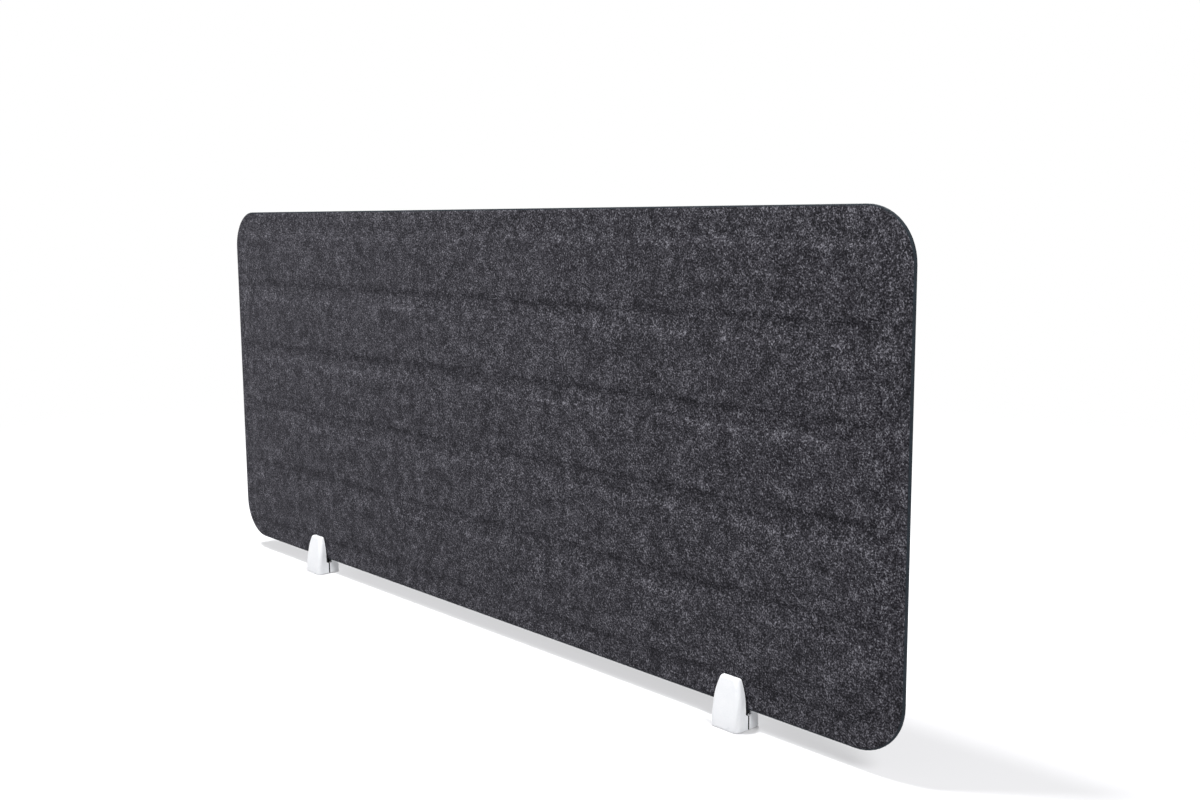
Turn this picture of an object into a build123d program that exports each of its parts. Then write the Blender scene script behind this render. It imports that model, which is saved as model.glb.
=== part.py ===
# Desk divider screen: a moulded felt panel whose lower edge is clamped by two small feet.
# Millimetres, +Z up. X runs along the panel, its user sits on the -Y side, and the origin is the
# middle of the footprint on the desk. "Outward" is the distance from the panel's middle plane.
import os
from math import cos, radians, sin, sqrt

from build123d import *

# Panel
panel_length = 1400.0
panel_height = 565.0
panel_corner_radius = 60.0
panel_lift = 25.0  # desk to the panel's lower edge
core_thickness = 3.0
core_fit = 0.3  # room round the core board
felt_pressed = 2.0  # felt at the border and in the channels
felt_rim = 8.0  # width of the edge where the two skins meet
felt_edge_bevel = 2.2

# Raised fields of the felt, five to a side, with pressed channels between them
field_count = 5
field_gap = 12.0  # floor of a channel
field_rise = 1.4
field_slope = 18.0  # width of the sloping edge of a field
field_corner_radius = 24.0
field_top_margin = 37.0
field_bottom_margin = 30.0
field_end_margin = 30.0
field_sink = 0.4  # how far a field's root reaches into the pressed felt
crown_shares = ((0.0, 0.0), (0.25, 0.44), (0.55, 0.8), (1.0, 1.0))  # of slope and of rise

# Clamp feet
left_foot_margin = 253.0  # panel's end to the foot's middle
right_foot_margin = 230.0
foot_height = 60.2
foot_width = 42.0
foot_top_width = 27.0
foot_depth = 40.0
foot_top_depth = 26.0
foot_side_straight = 26.0  # the sides rise straight to here, then curve in
foot_side_steps = 5  # plan outlines up the curved stretch
foot_toe_height = 12.0  # the outer face rises straight to here, then leans in
foot_corner_radius = 6.0
foot_top_radius = 2.0
foot_top_steps = 3  # plan outlines round the top edge
foot_base_chamfer = 0.6
heel_height = 18.5  # the two heels meet under the panel
heel_slit = 2.0  # gap between the heels, which the screws close
heel_shoulder_radius = 2.5
jaw_standoff = 1.3  # felt to the bare jaw, bridged by the grip pad

# Hollow of a jaw, cored out behind its grip pad
hollow_wall = 3.5
hollow_edge = 5.0  # wall at the hollow's sides
hollow_margin = 3.0  # land above and below the hollow
hollow_rib = 2.0
hollow_rib_spacing = 11.0

# Grip pads, one L-shaped rubber liner in each jaw
grip_thickness = 1.5
grip_height = 31.5
grip_inset = 3.0  # jaw's edge to the pad
grip_corner_radius = 3.0
grip_clearance = 0.3  # pad to felt
pad_fit = 0.1  # room round a pad in its recess

# Base pads, let into the jaws' undersides
base_pad_thickness = 2.0
base_pad_proud = 0.3
base_pad_inset = 2.5
base_pad_corner_radius = 3.0

# Clamp screws, M5 x 25 socket heads entered from the rear
screw_radius = 2.5
screw_length = 25.0
screw_height = 10.0  # desk to the screw's axis
screw_spacing = 21.0
screw_head_radius = 4.25
screw_head_height = 5.0
screw_running_gap = 0.08
socket_radius = 2.3  # to the hexagon's corners
socket_depth = 2.5
head_pocket_radius = 4.75
head_pocket_depth = 6.0
screw_hole_runout = 1.5  # tapped hole beyond the screw's tip

# Desk fixing, an M6 tapped hole up into each front jaw
desk_hole_radius = 2.5
desk_hole_depth = 14.0
desk_hole_outward = 10.2  # middle plane to the hole's axis
desk_hole_relief = 1.5  # ring of base pad cut away round the hole

cut_overrun = 5.0  # how far a cut runs on past the faces that it trims

# Places worked out from the sizes above
field_height = (
    panel_height - field_top_margin - field_bottom_margin - field_gap * (field_count - 1)
) / field_count
field_pitch = field_height + field_gap
felt_face = core_thickness / 2 + felt_pressed
panel_middle = panel_lift + panel_height / 2
jaw_face = felt_face + jaw_standoff
grip_face = felt_face + grip_clearance
grip_back = grip_face + grip_thickness
head_seat = foot_depth / 2 - head_pocket_depth
screw_tip = screw_length - head_seat  # outward, in the front jaw
front, rear = -1, 1
feet = {
    "left": left_foot_margin - panel_length / 2,
    "right": panel_length / 2 - right_foot_margin,
}
sides = {"front": front, "rear": rear}


# Planes that the sketches stand on
def facing_plane(centre_x, side, outward):
    """Upright plane across the part, x along the panel, y up from the desk, looking outward."""
    return Plane(origin=(centre_x, side * outward, 0), x_dir=(-side, 0, 0), z_dir=(0, side, 0))


def profile_plane(centre_x, side):
    """Upright plane square to the panel: x is the outward distance, y is up from the desk."""
    return Plane(origin=(centre_x, 0, 0), x_dir=(0, side, 0), z_dir=(side, 0, 0))


def save(piece, name):
    piece.part.label = name
    export_step(piece.part, f"parts/{name}.step")


# Panel: two felt skins closed round a core board
def panel_outline(plane, inset):
    with BuildSketch(plane) as outline:
        with Locations((0, panel_middle)):
            RectangleRounded(
                panel_length - 2 * inset, panel_height - 2 * inset, panel_corner_radius - inset
            )
    return outline.sketch


def make_field(side):
    """One raised field at the height of the panel's middle, crowned by steps of inset and rise."""
    steps = [(0.0, -field_sink)]
    steps += [(field_slope * inset, field_rise * rise) for inset, rise in crown_shares]
    with BuildPart() as field:
        for inset, rise in steps:
            with BuildSketch(facing_plane(0, side, felt_face + rise)):
                with Locations((0, panel_middle)):
                    RectangleRounded(
                        panel_length - 2 * field_end_margin - 2 * inset,
                        field_height - 2 * inset,
                        field_corner_radius - inset,
                    )
        loft(ruled=True)
    return field.part


def make_felt(side):
    first_middle = panel_height / 2 - field_top_margin - field_height / 2
    with BuildPart() as felt:
        middle = facing_plane(0, side, 0)
        extrude(panel_outline(middle, 0), amount=felt_face)
        outer_face = felt.faces().sort_by(Axis.Y)[-1 if side == rear else 0]
        chamfer(outer_face.edges(), length=felt_edge_bevel)
        extrude(
            panel_outline(middle, felt_rim),
            amount=core_thickness / 2,
            mode=Mode.SUBTRACT,
        )
        with Locations([(0, 0, first_middle - row * field_pitch) for row in range(field_count)]):
            add(make_field(side))
    return felt


def make_core():
    with BuildPart() as core_board:
        extrude(
            panel_outline(facing_plane(0, front, 0), felt_rim + core_fit),
            amount=core_thickness / 2,
            both=True,
        )
    return core_board


# Outlines shared by a jaw, its hollow and its pads
def jaw_half_width(height):
    """Straight at first, then an arc that ends at the top's half width."""
    risen = max(height - foot_side_straight, 0)
    full_rise, full_narrowing = foot_height - foot_side_straight, (foot_width - foot_top_width) / 2
    radius = (full_rise**2 + full_narrowing**2) / (2 * full_narrowing)
    return foot_width / 2 - radius + sqrt(radius**2 - risen**2)


def jaw_outward(height):
    """Distance from the middle plane to a jaw's outer face."""
    risen = max(height - foot_toe_height, 0)
    lean = (foot_depth - foot_top_depth) / 2 / (foot_height - foot_toe_height)
    return foot_depth / 2 - lean * risen


def jaw_front_outline(plane, inset, low, high, top_radius=0):
    """The jaw seen from its outer side, inset evenly and cut off below low and above high."""
    half_base, half_top = foot_width / 2, foot_top_width / 2
    with BuildSketch(plane) as outline:
        with BuildLine():
            Polyline(
                (-half_base, foot_side_straight),
                (-half_base, 0),
                (half_base, 0),
                (half_base, foot_side_straight),
            )
            TangentArc(
                (half_base, foot_side_straight), (half_top, foot_height), tangent=(0, 1)
            )
            TangentArc(
                (-half_base, foot_side_straight), (-half_top, foot_height), tangent=(0, 1)
            )
            Line((half_top, foot_height), (-half_top, foot_height))
        make_face()
        offset(amount=-inset, kind=Kind.INTERSECTION)
        with Locations((0, (low + high) / 2)):
            Rectangle(foot_width, high - low, mode=Mode.INTERSECT)
        if top_radius:
            fillet(outline.vertices().group_by(Axis.Y)[-1], radius=top_radius)
    return outline.sketch


def heel_edges():
    """The heel's slit face, rounded shoulder and top, as far as the jaw's face."""
    return FilletPolyline(
        (heel_slit / 2, -cut_overrun),
        (heel_slit / 2, heel_height),
        (jaw_face, heel_height),
        radius=heel_shoulder_radius,
    )


def grip_outline(plane, room):
    """A grip pad's outline on the felt, grown by the room that its recess leaves it."""
    pad_top = heel_height + grip_height + room
    return jaw_front_outline(plane, grip_inset - room, heel_height, pad_top, grip_corner_radius)


def base_pad_outline(centre_x, side, height, room):
    """A pad's outline on the jaw's underside, grown by the room that its recess leaves it."""
    inner = heel_slit / 2 + base_pad_inset
    outer = foot_depth / 2 - base_pad_inset
    with BuildSketch(Plane.XY.offset(height)) as outline:
        with Locations((centre_x, side * (inner + outer) / 2)):
            RectangleRounded(
                foot_width - 2 * base_pad_inset + 2 * room,
                outer - inner + 2 * room,
                base_pad_corner_radius,
            )
    return outline.sketch


def screw_places(centre_x, side, outward):
    """Centres of the two clamp screws, on a plane that faces outward."""
    return [
        Plane(
            origin=(centre_x + step * screw_spacing / 2, side * outward, screw_height),
            x_dir=(-side, 0, 0),
            z_dir=(0, side, 0),
        )
        for step in (-1, 1)
    ]


# Jaws
def make_block(centre_x, side):
    """A jaw's outer form, lofted through plan outlines, solid as far as the middle plane."""
    curve_rise = foot_height - foot_top_radius - foot_side_straight
    levels = [(base_pad_proud, 0), (foot_toe_height, 0)]
    for step in range(foot_side_steps + 1):
        levels.append((foot_side_straight + curve_rise * step / foot_side_steps, 0))
    for step in range(1, foot_top_steps + 1):
        turn = radians(90 * step / foot_top_steps)
        height = foot_height - foot_top_radius * (1 - sin(turn))
        levels.append((height, foot_top_radius * (1 - cos(turn))))
    with BuildPart() as block:
        for height, inset in levels:
            half_width, outward = jaw_half_width(height) - inset, jaw_outward(height) - inset
            with BuildSketch(Plane.XY.offset(height)) as plan:
                with Locations((centre_x, side * outward / 2)):
                    Rectangle(2 * half_width, outward)
                outer_corners = plan.vertices().group_by(Axis.Y)[-1 if side == rear else 0]
                fillet(outer_corners, radius=foot_corner_radius - inset)
        loft(ruled=True)
        base_edges = block.edges().group_by(Axis.Z)[0]
        chamfer(
            base_edges.filter_by(lambda edge: side * edge.center().Y > heel_slit),
            length=foot_base_chamfer,
        )
    return block.part


def make_throat(centre_x, side):
    """What is cut from a jaw on the panel's side: half the slit, and the room over the heel."""
    with BuildPart() as throat:
        with BuildSketch(profile_plane(centre_x, side)):
            with BuildLine():
                heel = heel_edges()
                Polyline(
                    heel @ 1,
                    (jaw_face, foot_height + cut_overrun),
                    (-cut_overrun, foot_height + cut_overrun),
                    (-cut_overrun, -cut_overrun),
                    heel @ 0,
                )
            make_face()
        extrude(amount=foot_width, both=True)
    return throat.part


def make_hollow(centre_x, side):
    """The cored-out space behind the grip pad, split by two upright ribs."""
    low = heel_height + hollow_margin
    high = heel_height + grip_height - hollow_margin
    behind_pad = facing_plane(centre_x, side, grip_back)
    with BuildPart() as hollow:
        extrude(jaw_front_outline(behind_pad, hollow_edge, low, high), amount=foot_depth)
        with BuildSketch(profile_plane(centre_x, side)):
            with BuildLine():
                Polyline(
                    (0, low),
                    (jaw_outward(low) - hollow_wall, low),
                    (jaw_outward(high) - hollow_wall, high),
                    (0, high),
                    close=True,
                )
            make_face()
        extrude(amount=foot_width, both=True, mode=Mode.INTERSECT)
        with BuildSketch(behind_pad):
            with Locations((0, (low + high) / 2)):
                with GridLocations(hollow_rib_spacing, 0, 2, 1):
                    Rectangle(hollow_rib, high - low)
        extrude(amount=foot_depth, mode=Mode.SUBTRACT)
    return hollow.part


def make_jaw(centre_x, side):
    with BuildPart() as jaw:
        add(make_block(centre_x, side))
        add(make_throat(centre_x, side), mode=Mode.SUBTRACT)

        # Recesses for the grip pad and the base pad, and the hollow behind the grip pad
        extrude(
            grip_outline(facing_plane(centre_x, side, jaw_face), pad_fit),
            amount=grip_back - jaw_face,
            mode=Mode.SUBTRACT,
        )
        extrude(
            base_pad_outline(centre_x, side, 0, pad_fit),
            amount=base_pad_thickness,
            mode=Mode.SUBTRACT,
        )
        add(make_hollow(centre_x, side), mode=Mode.SUBTRACT)

        # The rear jaw passes the clamp screws and sinks their heads, the front one is tapped
        hole_radius = screw_radius + screw_running_gap
        with BuildSketch(*screw_places(centre_x, side, 0)):
            Circle(hole_radius)
        hole_depth = foot_depth if side == rear else screw_tip + screw_hole_runout
        extrude(amount=hole_depth, mode=Mode.SUBTRACT)
        if side == rear:
            with BuildSketch(*screw_places(centre_x, side, head_seat)):
                Circle(head_pocket_radius)
            extrude(amount=head_pocket_depth, mode=Mode.SUBTRACT)
        else:
            with BuildSketch(Plane.XY):
                with Locations((centre_x, side * desk_hole_outward)):
                    Circle(desk_hole_radius)
            extrude(amount=base_pad_thickness + desk_hole_depth, mode=Mode.SUBTRACT)
    return jaw


# Rubber pads
def make_grip_pad(centre_x, side):
    """A liner between jaw and felt, with a foot that lies on the heel under the panel's edge."""
    with BuildPart() as grip_pad:
        extrude(grip_outline(facing_plane(centre_x, side, grip_face), 0), amount=grip_thickness)
        with BuildSketch(profile_plane(centre_x, side)):
            with BuildLine():
                heel = heel_edges()
                Polyline(
                    heel @ 1,
                    (grip_back, heel_height),
                    (grip_back, panel_lift - grip_clearance),
                    (heel_slit / 2, panel_lift - grip_clearance),
                    heel @ 0,
                )
            make_face()
            with Locations((0, heel_height - heel_shoulder_radius)):
                Rectangle(
                    foot_depth,
                    panel_lift,
                    align=(Align.CENTER, Align.MIN),
                    mode=Mode.INTERSECT,
                )
        extrude(amount=foot_width / 2 - grip_inset, both=True)
    return grip_pad


def make_base_pad(centre_x, side):
    with BuildPart() as base_pad:
        extrude(base_pad_outline(centre_x, side, 0, 0), amount=base_pad_thickness)
        if side == front:
            with BuildSketch(Plane.XY):
                with Locations((centre_x, side * desk_hole_outward)):
                    Circle(desk_hole_radius + desk_hole_relief)
            extrude(amount=base_pad_thickness, mode=Mode.SUBTRACT)
    return base_pad


# Clamp screws
def make_screw(seat):
    """A socket head cap screw whose head rests on the seat plane and points along it."""
    with BuildPart() as screw:
        with BuildSketch(seat):
            Circle(screw_head_radius)
        extrude(amount=screw_head_height)
        with BuildSketch(seat):
            Circle(screw_radius)
        extrude(amount=-screw_length)
        with BuildSketch(seat.offset(screw_head_height - socket_depth)):
            RegularPolygon(radius=socket_radius, side_count=6)
        extrude(amount=socket_depth, mode=Mode.SUBTRACT)
    return screw


os.makedirs("parts", exist_ok=True)
save(make_core(), "core_board")
for side_name, side in sides.items():
    save(make_felt(side), f"{side_name}_felt")
for foot_name, foot_x in feet.items():
    for side_name, side in sides.items():
        save(make_jaw(foot_x, side), f"{side_name}_jaw_{foot_name}")
        save(make_grip_pad(foot_x, side), f"{side_name}_grip_pad_{foot_name}")
        save(make_base_pad(foot_x, side), f"{side_name}_base_pad_{foot_name}")
    toward_middle = 1 if foot_name == "left" else -1
    seats = screw_places(foot_x, rear, head_seat)[::toward_middle]
    for place, seat in zip(("outer", "inner"), seats):
        save(make_screw(seat), f"clamp_screw_{place}_{foot_name}")
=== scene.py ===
import math

import bmesh
import bpy
from mathutils import Matrix, Vector, noise


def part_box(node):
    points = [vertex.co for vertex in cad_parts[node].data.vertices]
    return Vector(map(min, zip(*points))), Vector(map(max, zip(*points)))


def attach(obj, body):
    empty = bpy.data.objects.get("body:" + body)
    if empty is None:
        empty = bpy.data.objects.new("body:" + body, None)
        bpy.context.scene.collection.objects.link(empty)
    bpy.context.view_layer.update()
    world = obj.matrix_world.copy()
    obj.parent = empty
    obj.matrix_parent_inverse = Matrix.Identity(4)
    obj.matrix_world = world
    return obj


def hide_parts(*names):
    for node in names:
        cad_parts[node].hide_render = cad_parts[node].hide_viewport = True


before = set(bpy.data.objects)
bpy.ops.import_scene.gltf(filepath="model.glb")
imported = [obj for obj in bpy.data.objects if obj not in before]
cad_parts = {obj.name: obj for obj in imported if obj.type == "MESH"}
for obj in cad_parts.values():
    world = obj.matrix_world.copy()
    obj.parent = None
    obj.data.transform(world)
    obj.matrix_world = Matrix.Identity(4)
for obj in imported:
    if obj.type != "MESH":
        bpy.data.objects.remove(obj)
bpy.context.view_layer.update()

tiny = 1e-6  # metres: far below any size here, to tell one place from another


def mm(value):
    return value / 1000


# Turns an sRGB hex colour into the linear values that a shader takes
def fromHex(code):
    parts = [int(code[i:i + 2], 16) / 255 for i in (1, 3, 5)]
    return [c / 12.92 if c <= 0.04045 else ((c + 0.055) / 1.055) ** 2.4 for c in parts] + [1.0]


# Adds one node, sets its properties, and fills or links its sockets
def addNode(tree, kind, sockets=None, stops=None, **settings):
    node = tree.nodes.new("ShaderNode" + kind)
    for name, value in settings.items():
        setattr(node, name, value)
    for name, value in (sockets or {}).items():
        if isinstance(value, bpy.types.NodeSocket):
            tree.links.new(value, node.inputs[name])
        else:
            node.inputs[name].default_value = value
    for place, (at, colour) in enumerate(stops or ()):
        ramp = node.color_ramp.elements
        stop = ramp[place] if place < 2 else ramp.new(at)
        stop.position, stop.color = at, colour
    return node


def newMaterial(name):
    material = bpy.data.materials.new(name)
    material.use_nodes = True
    material.node_tree.nodes.clear()
    return material, material.node_tree


# Noise of one grain size, read from the piece's own coordinates and stretched along one way
def grain(tree, coords, size, stretch=(1, 1, 1), turn=0.0, detail=2.0, roughness=0.5, seed=0.0):
    mapped = addNode(tree, "Mapping", {
        "Vector": coords, "Rotation": (0, math.radians(turn), 0),
        "Location": (seed, seed * 1.7, seed * 0.6)})
    shaped = addNode(tree, "Mapping", {
        "Vector": mapped.outputs[0], "Scale": tuple(1 / s for s in stretch)})
    return addNode(tree, "TexNoise", {
        "Vector": shaped.outputs[0], "Scale": 1 / mm(size), "Detail": detail,
        "Roughness": roughness}).outputs["Fac"]


# Adds to a base how far a noise stands from its middle, times a contrast
def addContrast(tree, value, middle, contrast, base):
    away = addNode(tree, "Math", {0: value, 1: middle}, operation="SUBTRACT")
    return addNode(tree, "Math", {0: away.outputs[0], 1: contrast, 2: base},
                   operation="MULTIPLY_ADD").outputs[0]


# Materials

# Needled PET felt, moulded hot: recycled fibres of several greys lie tangled in the surface, so it
# reads as fine pale and dark flecks with short streaks over cloudier patches, and it never shines
feltLook = {
    "tones": {0.0: "#0b0b0e", 0.28: "#1b1a1f", 0.5: "#313035", 0.75: "#4d4c52", 1.0: "#7f7e85"},
    "patchSize": 22.0, "patchDetail": 4.0, "patchContrast": 1.4,  # cloudy, down to about 1.4 mm
    "fleckSize": 2.0, "fleckContrast": 1.75,  # tufts of a few fibres
    "fibreWidth": 1.2, "fibreLength": 8.0, "fibreContrast": 1.65,  # tens of times too wide
    "fibreTurns": (12, 57, 101, 148), "fibreMiddle": 0.6,  # the mean of the four ways' brightest
    "roughness": 0.95, "fuzz": 0.25, "fuzzTint": "#6f6e76", "shine": 0.15,
    "bump": 0.5, "bumpStrength": 0.5,
}


def makeFelt():
    look = feltLook
    material, tree = newMaterial("needledPetFelt")
    coords = addNode(tree, "TexCoord").outputs["Object"]
    patches = grain(tree, coords, look["patchSize"], detail=look["patchDetail"], roughness=1.0)
    flecks = grain(tree, coords, look["fleckSize"], detail=1, roughness=0.6, seed=0.31)
    streaks = None
    stretch = (look["fibreLength"] / look["fibreWidth"], 1, 1)
    for number, turn in enumerate(look["fibreTurns"]):
        layer = grain(tree, coords, look["fibreWidth"], stretch, turn, 1, 0.5, number * 0.53)
        streaks = layer if streaks is None else addNode(
            tree, "Math", {0: streaks, 1: layer}, operation="MAXIMUM").outputs[0]
    value = addContrast(tree, patches, 0.5, look["patchContrast"], 0.5)
    value = addContrast(tree, flecks, 0.5, look["fleckContrast"], value)
    value = addContrast(tree, streaks, look["fibreMiddle"], look["fibreContrast"], value)
    colour = addNode(tree, "ValToRGB", {"Fac": value},
                     [(at, fromHex(code)) for at, code in look["tones"].items()])
    bump = addNode(tree, "Bump", {
        "Height": value, "Strength": look["bumpStrength"], "Distance": mm(look["bump"])})
    shader = addNode(tree, "BsdfPrincipled", {
        "Base Color": colour.outputs["Color"], "Roughness": look["roughness"],
        "Sheen Weight": look["fuzz"], "Sheen Roughness": 0.5,
        "Sheen Tint": fromHex(look["fuzzTint"]), "Specular IOR Level": look["shine"],
        "Normal": bump.outputs["Normal"]})
    addNode(tree, "OutputMaterial", {"Surface": shader.outputs[0]})
    return material


# The same felt on the skins' rims and ends, smooth and coloured darker and bluish: painted shade
# for the ends, which turn away from the light
feltEdgeShadeLook = {
    "low": "#12191f", "high": "#222c34", "size": 4.0, "bump": 0.3, "roughness": 0.7, "shine": 0.3,
}


def makeFeltEdgeShade():
    look = feltEdgeShadeLook
    material, tree = newMaterial("feltEdgePaintedShade")
    coords = addNode(tree, "TexCoord").outputs["Object"]
    value = grain(tree, coords, look["size"], detail=3, roughness=0.6)
    colour = addNode(tree, "ValToRGB", {"Fac": value}, [
        (0.3, fromHex(look["low"])), (0.7, fromHex(look["high"]))])
    bump = addNode(tree, "Bump", {"Height": value, "Strength": 0.3, "Distance": mm(look["bump"])})
    shader = addNode(tree, "BsdfPrincipled", {
        "Base Color": colour.outputs["Color"], "Roughness": look["roughness"],
        "Specular IOR Level": look["shine"], "Normal": bump.outputs["Normal"]})
    addNode(tree, "OutputMaterial", {"Surface": shader.outputs[0]})
    return material


# Hardboard: pressed wood fibre, brown with a fine mottle and a slight polish
boardLook = {
    "low": "#5b4330", "high": "#7c6046", "size": 1.6, "bump": 0.1, "roughness": 0.6, "metal": 0.0,
}

# White polyester powder coat on a zinc casting: glossy, with a shallow orange peel
coatLook = {
    "low": "#eceef1", "high": "#f4f5f7", "size": 1.1, "bump": 0.05, "roughness": 0.32, "metal": 0.0,
}

# Bare zinc casting, as it comes out of the die, where the powder doesn't reach: dull dark grey,
# darkened further as painted shade in the slit between the jaws
slitShadeCastLook = {
    "low": "#161719", "high": "#242527", "size": 1.4, "bump": 0.06, "roughness": 0.55, "metal": 0.6,
}

# Black nitrile rubber, moulded: dull, slightly dusty
rubberLook = {
    "low": "#0f1011", "high": "#1d1e20", "size": 0.9, "bump": 0.08, "roughness": 0.62, "metal": 0.0,
}

# Bright zinc plate on steel: pale grey metal with a faint blue cast and a fine mottle
zincLook = {
    "low": "#9a9da1", "high": "#b9bdc4", "size": 0.5, "bump": 0.03, "roughness": 0.34, "metal": 1.0,
}

# What those finishes share: a broad grain under the fine one, and gloss that follows the broad one
grainLook = {
    "broader": 12, "from": 0.35, "to": 0.65, "glossier": 0.05, "duller": 0.07, "bumpStrength": 0.25,
}


def makePlain(name, look):
    shared = grainLook
    material, tree = newMaterial(name)
    coords = addNode(tree, "TexCoord").outputs["Object"]
    fine = grain(tree, coords, look["size"], detail=3, roughness=0.55)
    broad = grain(tree, coords, look["size"] * shared["broader"], detail=2, seed=4.4)
    half = addNode(tree, "Math", {0: fine, 1: 0.5}, operation="MULTIPLY").outputs[0]
    blended = addNode(tree, "Math", {0: broad, 1: 0.5, 2: half}, operation="MULTIPLY_ADD")
    colour = addNode(tree, "ValToRGB", {"Fac": blended.outputs[0]}, [
        (shared["from"], fromHex(look["low"])), (shared["to"], fromHex(look["high"]))])
    rough = addNode(tree, "MapRange", {
        "Value": broad, 1: 0.3, 2: 0.7,
        3: look["roughness"] - shared["glossier"], 4: look["roughness"] + shared["duller"]})
    bump = addNode(tree, "Bump", {
        "Height": fine, "Strength": shared["bumpStrength"], "Distance": mm(look["bump"])})
    shader = addNode(tree, "BsdfPrincipled", {
        "Base Color": colour.outputs["Color"], "Roughness": rough.outputs[0],
        "Metallic": look["metal"], "Normal": bump.outputs["Normal"]})
    addNode(tree, "OutputMaterial", {"Surface": shader.outputs[0]})
    return material


felt = makeFelt()
feltEdgeShade = makeFeltEdgeShade()
hardboard = makePlain("temperedHardboard", boardLook)
powderCoat = makePlain("whitePowderCoat", coatLook)
bareCastingSlitShade = makePlain("bareZincPaintedSlitShade", slitShadeCastLook)
rubber = makePlain("mouldedNitrileRubber", rubberLook)
zinc = makePlain("brightZincPlate", zincLook)
print("materials made")


# Orders a bmesh's parts by where they lie, since operators leave them in a new order each run
def settle(parts, place):
    rank = {part: number for number, part in enumerate(sorted(parts, key=place))}
    parts.sort(key=rank.get)


# Puts a finished bmesh into the scene as a piece that rides on a body
def addPiece(bm, name, body, materials, replaced, smoothAngle=30):
    bmesh.ops.recalc_face_normals(bm, faces=bm.faces)
    settle(bm.verts, lambda v: v.co[:])
    settle(bm.edges, lambda e: sorted(v.co[:] for v in e.verts))
    settle(bm.faces, lambda f: sorted(v.co[:] for v in f.verts))
    mesh = bpy.data.meshes.new(name)
    bm.to_mesh(mesh)
    bm.free()
    for material in materials:
        mesh.materials.append(material)
    mesh.shade_smooth()
    mesh.set_sharp_from_angle(angle=math.radians(smoothAngle))
    piece = bpy.data.objects.new(name, mesh)
    bpy.context.scene.collection.objects.link(piece)
    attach(piece, body)
    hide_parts(*replaced)
    return piece


# Felt skins: the front is at -Y, and the rear one is its mirror image
feltSizes = {
    "length": 1400.0, "height": 565.0, "lift": 25.0, "corner": 60.0, "cornerSteps": 14,
    "edgeThickness": 1.7, "rim": 0.9, "rimSteps": 4, "seal": 0.9, "border": 0.8, "borderSlope": 5.0,
    "landWidth": 8.0, "pocket": 1.5,
    "fieldTop": 525.5, "fieldPitch": 103.2, "fieldHeight": 79.0, "fieldCount": 5,  # at mid slope
    "fieldEnd": 35.0, "fieldCorner": 22.0, "rise": 2.4,
    "slope": 13.0, "slopeDrift": 0.6,  # how wide, and how much wider towards the left end
    "wander": 2.0, "ripple": 1.0,  # how far the fields' edges stray, slowly and quickly
    "fullness": 0.91, "fullnessVaries": 0.09, "uneven": 0.07,
    "row": 2.5, "column": 10.0, "endColumn": 2.5, "endZone": 66.0,
}


# Smooth noise from -1 to 1 with swells about so many millimetres long and high
def swell(x, z, long, high, seed):
    return noise.noise(Vector((x / long, z / high, seed)))


# How far a place stands out from the panel's thin pressed edge, z counted from the lower edge
def reliefAt(x, z):
    s = feltSizes
    dx = s["length"] / 2 - s["corner"] - abs(x)
    dz = s["height"] / 2 - s["corner"] - abs(z - s["height"] / 2)
    inside = s["corner"] + min(dx, dz) if max(dx, dz) > 0 else s["corner"] - math.hypot(dx, dz)
    t = min(max(inside / s["borderSlope"], 0), 1)
    border = s["border"] * t * (2 - t)
    wander = s["wander"] * swell(x, z, 150, 60, 4.2) + s["ripple"] * swell(x, z, 45, 45, 6.6)
    slope = s["slope"] * (1 - s["slopeDrift"] * x / s["length"])
    best = 0.0
    for row in range(s["fieldCount"]):
        middle = s["fieldTop"] - s["fieldHeight"] / 2 - row * s["fieldPitch"] + wander
        dx = abs(x) - (s["length"] / 2 - s["fieldEnd"] - s["fieldCorner"])
        dz = abs(z - middle) - (s["fieldHeight"] / 2 - s["fieldCorner"])
        outside = math.hypot(max(dx, 0), max(dz, 0)) + min(max(dx, dz), 0) - s["fieldCorner"]
        t = min(max(0.5 - outside / slope, 0), 1)
        best = max(best, t * t * (3 - 2 * t))
    uneven = s["uneven"] * swell(x, z, 70, 38, 1.3)
    fuller = s["fullness"] + s["fullnessVaries"] * swell(x, z, 160, 160, 9.1)
    return border + (s["rise"] * fuller + uneven) * best


def cuts(low, high, step):
    count = round((high - low) / step)
    return [low + (high - low) * i / count for i in range(count + 1)]


# Cuts faces at places along an axis, each time only what lies beyond the last cut
def slicePlane(bm, faces, places, axis):
    normal = [0, 0, 0]
    normal[axis] = 1
    for place in places:
        part = faces + list({e for f in faces for e in f.edges})
        part += list({v for f in faces for v in f.verts})
        cut = bmesh.ops.bisect_plane(bm, geom=part, dist=tiny, plane_no=normal,
                                     plane_co=[mm(place) * n for n in normal])
        faces = [f for f in cut["geom"] if isinstance(f, bmesh.types.BMFace)
                 and f.calc_center_median()[axis] > mm(place)]


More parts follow.
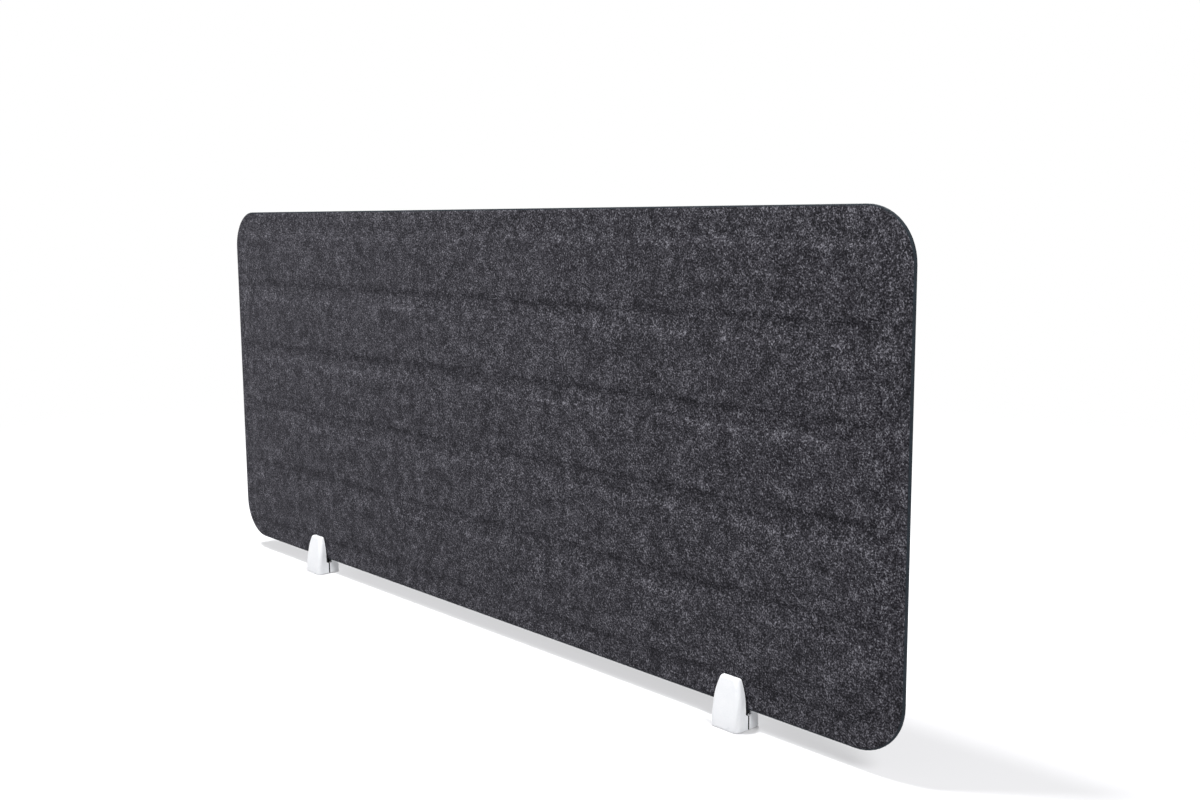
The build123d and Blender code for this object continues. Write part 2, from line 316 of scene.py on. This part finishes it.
def makeSkin(name, node, mirrored):
    s = feltSizes
    bm = bmesh.new()
    halfLength, low, high = mm(s["length"] / 2), mm(s["lift"]), mm(s["lift"] + s["height"])
    corners = [bm.verts.new((x, 0, z)) for x, z in (
        (-halfLength, low), (halfLength, low), (halfLength, high), (-halfLength, high))]
    bm.faces.new(corners)
    bmesh.ops.bevel(bm, geom=bm.verts[:], offset=mm(s["corner"]), offset_type="ABSOLUTE",
                    affect="VERTICES", segments=s["cornerSteps"], profile=0.5, material=-1)
    back = bm.faces[:][0]
    grown = bmesh.ops.extrude_face_region(bm, geom=[back])
    face = [f for f in grown["geom"] if isinstance(f, bmesh.types.BMFace)][0]
    bmesh.ops.translate(bm, verts=face.verts[:], vec=(0, -mm(s["edgeThickness"]), 0))
    bmesh.ops.bevel(bm, geom=face.edges[:], offset=mm(s["rim"]), offset_type="OFFSET",
                    affect="EDGES", segments=s["rimSteps"], profile=0.5, material=-1)
    # The land where the two skins are welded, and the pocket for the core board
    back = [f for f in bm.faces if all(abs(v.co.y) < tiny for v in f.verts)][0]
    bmesh.ops.inset_region(bm, faces=[back], thickness=mm(s["landWidth"]), use_even_offset=True)
    sunk = bmesh.ops.extrude_face_region(bm, geom=[back])
    bmesh.ops.delete(bm, geom=[back], context="FACES_ONLY")
    floor = [f for f in sunk["geom"] if isinstance(f, bmesh.types.BMFace)][0]
    bmesh.ops.translate(bm, verts=floor.verts[:], vec=(0, -mm(s["pocket"]), 0))
    face = min(bm.faces, key=lambda f: f.calc_center_median().y)
    bmesh.ops.inset_region(bm, faces=[face], thickness=mm(s["seal"]), use_even_offset=True)
    # The front face keeps the felt; its rim and the ends get the darker edge colour, which is
    # painted shade
    for part in bm.faces:
        part.material_index = 0 if part is face else 1
    # Rows and columns fine enough for the moulded relief
    ends = s["length"] / 2 - s["endZone"]
    columns = cuts(-s["length"] / 2, -ends, s["endColumn"])[1:] + cuts(-ends, ends, s["column"])[1:]
    columns += cuts(ends, s["length"] / 2, s["endColumn"])[1:-1]
    slicePlane(bm, [face], columns, 0)
    level = tiny - mm(s["edgeThickness"])
    strips = [f for f in bm.faces if f.material_index == 0]
    slicePlane(bm, strips, cuts(s["lift"], s["lift"] + s["height"], s["row"])[1:-1], 2)
    for v in [v for v in bm.verts if all(w.co.y < level for f in v.link_faces for w in f.verts)]:
        v.co.y -= mm(reliefAt(v.co.x * 1000, v.co.z * 1000 - s["lift"]))
    if mirrored:
        bmesh.ops.scale(bm, vec=(1, -1, 1), verts=bm.verts[:])
    addPiece(bm, name, "panel", [felt, feltEdgeShade], [node], smoothAngle=50)


makeSkin("frontSkin", "front_felt", False)
makeSkin("rearSkin", "rear_felt", True)
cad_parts["core_board"].data.materials.clear()
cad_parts["core_board"].data.materials.append(hardboard)
print("felt skins made")


# A piece is called what its node is, as one word: front_jaw_left becomes frontJawLeft
def pieceName(node):
    first, *others = node.split("_")
    return first + "".join(word.title() for word in others)


# How near points are to be one, and how flat neighbours are to be one face
copySizes = {"merged": 0.002, "flat": 0.4}


# A copy of a CAD node as whole flat faces, ready for edges and ribs
def fromNode(node):
    bm = bmesh.new()
    bm.from_mesh(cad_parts[node].data)
    bmesh.ops.remove_doubles(bm, verts=bm.verts, dist=mm(copySizes["merged"]))
    bmesh.ops.dissolve_limit(bm, verts=bm.verts, edges=bm.edges, use_dissolve_boundaries=False,
                             angle_limit=math.radians(copySizes["flat"]))
    return bm


# Rounds or breaks every edge that is sharper than an angle
def softenEdges(bm, width, segments, angle):
    hard = [e for e in bm.edges if e.is_manifold and e.calc_face_angle() > math.radians(angle)]
    bmesh.ops.bevel(bm, geom=hard, offset=mm(width), offset_type="OFFSET", affect="EDGES",
                    segments=segments, profile=0.5, material=-1, clamp_overlap=True)


# Ribs or grooves: flat faces are cut across at an even pitch and every other strip is moved
def ribFaces(bm, faces, axis, pitch, taper, depth, upTo=None):
    ends = [v.co[axis] * 1000 for f in faces for v in f.verts]
    rest = set(bm.faces) - set(faces)
    places = cuts(min(ends) + pitch / 2, upTo or max(ends) - pitch / 2, pitch)
    slicePlane(bm, faces, places, axis)
    strips = [f for f in bm.faces if f not in rest]
    number = {f: sum(f.calc_center_median()[axis] > mm(place) for place in places) for f in strips}
    moved = [f for f in strips if number[f] % 2 and number[f] < len(places)]
    bmesh.ops.inset_region(bm, faces=moved, thickness=mm(taper), depth=mm(depth),
                           use_even_offset=True, use_boundary=True)


# Clamp feet: two cast jaws each, rubber pads and two socket head screws
footSizes = {
    "edge": 0.35, "edgeSteps": 2, "edgeAngle": 35.0,
    # Faces this near the panel's middle plane, in the slit, get painted shade: the darkened bare
    # casting
    "slitShadeWithin": 1.1,  # of the panel's middle plane, in the slit
    "padEdge": 0.2, "padEdgeAngle": 60.0, "facing": 0.9,  # how squarely a face looks one way
    "gripPitch": 1.6, "gripRib": 1.2, "gripTaper": 0.3, "gripFrom": 30.0, "gripTop": 52.0,
    "treadPitch": 1.9, "treadDepth": 0.5, "treadTaper": 0.2, "treadWithin": 0.1,  # of the floor
}


def makeJaw(node, body):
    s = footSizes
    bm = fromNode(node)
    for f in bm.faces:
        # Faces in the slit take the bare casting, darkened as painted shade
        f.material_index = int(abs(f.calc_center_median().y) < mm(s["slitShadeWithin"]))
    softenEdges(bm, s["edge"], s["edgeSteps"], s["edgeAngle"])
    piece = addPiece(bm, pieceName(node), body, [powderCoat, bareCastingSlitShade], [node])
    piece.modifiers.new("weighted", "WEIGHTED_NORMAL").keep_sharp = True


def makeGripPad(node, body, side):
    s = footSizes
    bm = fromNode(node)
    inner = [f for f in bm.faces if f.normal.y * side < -s["facing"]
             and f.calc_center_median().z > mm(s["gripFrom"])]
    ribFaces(bm, inner, 2, s["gripPitch"], s["gripTaper"], s["gripRib"], s["gripTop"])
    softenEdges(bm, s["padEdge"], 1, s["padEdgeAngle"])
    addPiece(bm, pieceName(node), body, [rubber], [node])


def makeBasePad(node, body):
    s = footSizes
    bm = fromNode(node)
    under = [f for f in bm.faces if f.normal.z < -s["facing"]
             and f.calc_center_median().z < mm(s["treadWithin"])]
    ribFaces(bm, under, 0, s["treadPitch"], s["treadTaper"], -s["treadDepth"])
    softenEdges(bm, s["padEdge"], 1, s["padEdgeAngle"])
    addPiece(bm, pieceName(node), body, [rubber], [node])


# An M5 x 25 socket head cap screw along Y, its head to the rear
screwSizes = {
    "shank": 2.5, "root": 2.06, "sides": 48, "seam": 0.02, "buried": 0.15,  # overlaps
    "pitch": 0.8, "crest": 0.1, "threaded": 22.0, "turnSteps": 20,
    "headRadius": 4.25, "headHeight": 5.0, "headEdge": 0.45, "headDrop": 0.27, "headLand": 0.6,
    "knurls": 36, "knurlDepth": 0.16,
    "socket": 2.3, "socketDepth": 2.5, "seat": 14.0, "height": 10.0, "length": 25.0, "tip": 0.5,
}


# A flat round face, its corners in order of their angle, since a circle's own cap starts anywhere
def roundFace(bm, radius, sides):
    circle = bmesh.ops.create_circle(bm, segments=sides, radius=mm(radius))
    return bm.faces.new(sorted(circle["verts"], key=lambda v: math.atan2(v.co.y, v.co.x)))


def makeScrew(node, body):
    s = screwSizes
    low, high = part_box(node)
    bm = bmesh.new()
    # Upright at first: the shank's core with a chamfered tip, then the head with its knurls
    end = roundFace(bm, s["root"] + s["seam"], s["sides"])
    turned = bmesh.ops.extrude_face_region(bm, geom=[end])
    top = [v for v in turned["geom"] if isinstance(v, bmesh.types.BMVert)]
    bmesh.ops.translate(bm, verts=top, vec=(0, 0, mm(s["length"] + s["buried"])))
    tip = [e for e in bm.edges if all(v.co.z < tiny for v in e.verts)]
    bmesh.ops.bevel(bm, geom=tip, offset=mm(s["tip"]), offset_type="OFFSET", affect="EDGES",
                    segments=1, profile=0.5, material=-1)
    headFace = roundFace(bm, s["headRadius"], s["knurls"] * 2)
    for place, v in enumerate(headFace.verts):
        v.co *= 1 - (place % 2) * s["knurlDepth"] / s["headRadius"]
    bmesh.ops.translate(bm, verts=headFace.verts[:], vec=(0, 0, mm(s["length"])))
    turned = bmesh.ops.extrude_face_region(bm, geom=[headFace])
    cap = [f for f in turned["geom"] if isinstance(f, bmesh.types.BMFace)][0]
    bmesh.ops.translate(bm, verts=cap.verts[:], vec=(0, 0, mm(s["headHeight"])))
    bmesh.ops.inset_region(bm, faces=[cap], thickness=mm(s["headEdge"]), use_even_offset=True)
    ring = {v for e in cap.edges for f in e.link_faces for v in f.verts} - set(cap.verts)
    bmesh.ops.translate(bm, verts=list(ring), vec=(0, 0, -mm(s["headDrop"])))
    # The socket: the flat top is drawn in to a hexagon and sunk
    bmesh.ops.inset_region(bm, faces=[cap], thickness=mm(s["headLand"]), use_even_offset=True)
    for v in cap.verts:
        angle = math.atan2(v.co.y, v.co.x)
        apothem = s["socket"] * math.cos(math.pi / 6)
        reach = apothem / math.cos((angle + math.pi / 6) % (math.pi / 3) - math.pi / 6)
        v.co.x, v.co.y = mm(reach) * math.cos(angle), mm(reach) * math.sin(angle)
    turned = bmesh.ops.extrude_face_region(bm, geom=[cap])
    bmesh.ops.delete(bm, geom=[cap], context="FACES_ONLY")
    floor = [f for f in turned["geom"] if isinstance(f, bmesh.types.BMFace)][0]
    bmesh.ops.translate(bm, verts=floor.verts[:], vec=(0, 0, -mm(s["socketDepth"])))
    # The thread: one V of the profile wound up the shank
    half = s["pitch"] / 2
    inside = s["root"] - s["buried"]
    outline = [(s["root"], -half), (s["shank"], -s["crest"] / 2), (s["shank"], s["crest"] / 2),
               (s["root"], half), (inside, half), (inside, -half)]
    ridge = bm.faces.new([bm.verts.new((mm(r), 0, mm(z + s["tip"] + half))) for r, z in outline])
    turns = (s["threaded"] - s["tip"]) / s["pitch"]
    steps = round(turns * s["turnSteps"])
    bmesh.ops.spin(bm, geom=[ridge], cent=(0, 0, 0), axis=(0, 0, 1), steps=steps,
                   angle=math.tau * steps / s["turnSteps"],
                   dvec=(0, 0, mm(s["pitch"] / s["turnSteps"])))
    # Laid along Y, its head to the rear, in the foot's hole
    bmesh.ops.rotate(bm, verts=bm.verts, cent=(0, 0, 0),
                     matrix=Matrix.Rotation(-math.pi / 2, 3, "X"))
    place = ((low.x + high.x) / 2, mm(s["seat"] - s["length"]), mm(s["height"]))
    bmesh.ops.translate(bm, verts=bm.verts, vec=place)
    addPiece(bm, pieceName(node), body, [zinc], [node])


for foot in ("left", "right"):
    makeJaw("front_jaw_" + foot, foot + "_foot")
    makeJaw("rear_jaw_" + foot, foot + "_clamp")
    makeGripPad("front_grip_pad_" + foot, foot + "_foot", -1)
    makeGripPad("rear_grip_pad_" + foot, foot + "_clamp", 1)
    makeBasePad("front_base_pad_" + foot, foot + "_foot")
    makeBasePad("rear_base_pad_" + foot, foot + "_clamp")
    for place in ("outer", "inner"):
        makeScrew(f"clamp_screw_{place}_{foot}", f"{foot}_{place}_screw")
print("clamp feet made")


# Plain pale floor, which fades into the white background far from the screen
stageLook = {
    "seen": "#d6d6d8", "bounced": "#aaaaac",  # the floor's colour to the camera, and to other light
    "size": 16000.0, "clear": 900.0, "gone": 2600.0, "whiteNear": 0.15,
}


def makeStage():
    look = stageLook
    material, tree = newMaterial("paleFloor")
    coords = addNode(tree, "TexCoord").outputs["Object"]
    away = addNode(tree, "VectorMath", {0: coords}, operation="LENGTH").outputs["Value"]
    fade = addNode(tree, "MapRange", {
        "Value": away, 1: mm(look["clear"]), 2: mm(look["gone"]), 3: look["whiteNear"], 4: 1.0},
        interpolation_type="SMOOTHSTEP").outputs[0]
    path = addNode(tree, "LightPath").outputs
    seen = addNode(tree, "Math", {0: path["Is Camera Ray"], 1: path["Is Glossy Ray"]},
                   operation="MAXIMUM").outputs[0]
    fade = addNode(tree, "Math", {0: fade, 1: seen}, operation="MULTIPLY").outputs[0]
    lit = addNode(tree, "BsdfDiffuse", {"Color": fromHex(look["seen"])})
    dim = addNode(tree, "BsdfDiffuse", {"Color": fromHex(look["bounced"])})
    plain = addNode(tree, "MixShader", {0: seen, 1: dim.outputs[0], 2: lit.outputs[0]})
    white = addNode(tree, "Emission", {"Color": (1, 1, 1, 1), "Strength": 1.0})
    mixed = addNode(tree, "MixShader", {0: fade, 1: plain.outputs[0], 2: white.outputs[0]})
    addNode(tree, "OutputMaterial", {"Surface": mixed.outputs[0]})
    bm = bmesh.new()
    bmesh.ops.create_grid(bm, x_segments=1, y_segments=1, size=mm(look["size"] / 2))
    mesh = bpy.data.meshes.new("floor")
    bm.to_mesh(mesh)
    bm.free()
    mesh.materials.append(material)
    floor = bpy.data.objects.new("floor", mesh)
    bpy.context.scene.collection.objects.link(floor)


# Soft studio light: a high key from the photograph's side, and weaker fills from side and back
lightLook = {
    "sky": 0.33, "aim": 250.0,  # all-round light, and the height that the lamps look at
    "key": {"place": (-750.0, -1000.0, 3800.0), "size": 700.0, "power": 170.0},
    "sideFill": {"place": (3700.0, -1400.0, 3200.0), "size": 1600.0, "power": 125.0},
    "backFill": {"place": (-900.0, 1350.0, 3700.0), "size": 900.0, "power": 112.0},
}


def addLamp(name, place, size, power):
    light = bpy.data.lights.new(name, "AREA")
    light.shape, light.size, light.energy = "DISK", mm(size), power
    lamp = bpy.data.objects.new(name, light)
    bpy.context.scene.collection.objects.link(lamp)
    lamp.location = Vector(place) / 1000
    aim = Vector((0, 0, mm(lightLook["aim"])))
    lamp.rotation_euler = (aim - lamp.location).to_track_quat("-Z", "Y").to_euler()


def makeLight():
    look = lightLook
    world = bpy.data.worlds.new("studio")
    bpy.context.scene.world = world
    world.use_nodes = True
    tree = world.node_tree
    tree.nodes.clear()
    path = addNode(tree, "LightPath").outputs
    seen = addNode(tree, "Math", {0: path["Is Camera Ray"], 1: path["Is Transmission Ray"]},
                   operation="MAXIMUM").outputs[0]
    light = addNode(tree, "Background", {"Color": (1, 1, 1, 1), "Strength": look["sky"]})
    white = addNode(tree, "Background", {"Color": (1, 1, 1, 1), "Strength": 1.0})
    mixed = addNode(tree, "MixShader", {0: seen, 1: light.outputs[0], 2: white.outputs[0]})
    addNode(tree, "OutputWorld", {"Surface": mixed.outputs[0]})
    for name in ("key", "sideFill", "backFill"):
        addLamp(name, **look[name])


# The photograph's own viewpoint, solved from its straight edges
cameraView = {
    "place": (1442.6, -1080.2, 578.5), "yaw": 48.01, "down": 7.91, "roll": 0.38,
    "lens": 39.53, "sensor": 36.0, "reach": 60000.0,
}


def makeCamera():
    view = cameraView
    yaw, down, roll = (math.radians(view[k]) for k in ("yaw", "down", "roll"))
    ahead = Vector((-math.sin(yaw) * math.cos(down), math.cos(yaw) * math.cos(down),
                    -math.sin(down)))
    right = Vector((math.cos(yaw), math.sin(yaw), 0))
    below = ahead.cross(right)
    across = math.cos(roll) * right + math.sin(roll) * below
    upward = math.sin(roll) * right - math.cos(roll) * below
    data = bpy.data.cameras.new("camera")
    data.lens, data.sensor_width, data.sensor_fit = view["lens"], view["sensor"], "HORIZONTAL"
    data.clip_end = mm(view["reach"])
    camera = bpy.data.objects.new("camera", data)
    turn = Matrix((across, upward, -ahead)).transposed().to_4x4()
    camera.matrix_world = Matrix.Translation(Vector(view["place"]) / 1000) @ turn
    bpy.context.scene.collection.objects.link(camera)
    bpy.context.scene.camera = camera


makeStage()
makeLight()
makeCamera()
bpy.context.scene.view_settings.view_transform = "Standard"
print("stage, light and camera made")
